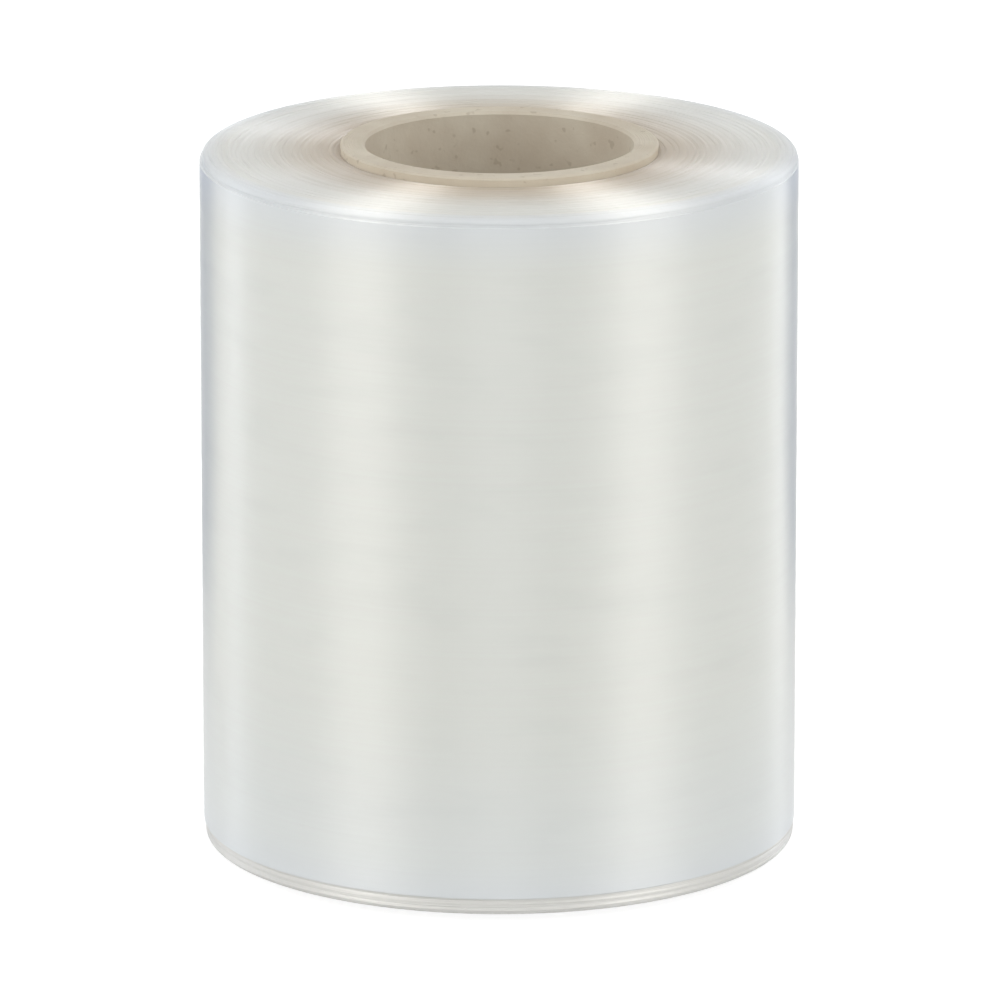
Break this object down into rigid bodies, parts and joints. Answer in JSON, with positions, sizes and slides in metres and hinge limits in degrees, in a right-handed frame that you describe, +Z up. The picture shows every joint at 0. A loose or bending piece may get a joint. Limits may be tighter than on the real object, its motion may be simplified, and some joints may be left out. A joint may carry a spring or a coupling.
{
  "type": "stretch wrap roll",
  "caption": "Hand roll of clear stretch film wound on a spiral cardboard core with an open bore, standing on end.",
  "frame": {"origin": "on the roll's axis, in the plane of the core's lower end that the roll stands on", "axes": "+Z up along the core's bore, the front of the picture is -Y, and +X is to the right there"},
  "size_m": [0.0849, 0.0848, 0.1024],
  "materials": {
    "film": "gloss",
    "cardboard": "matte"
  },
  "bodies": {
    "root": {"film_winding": "film", "cardboard_core": "cardboard"}
  },
  "joints": []
}
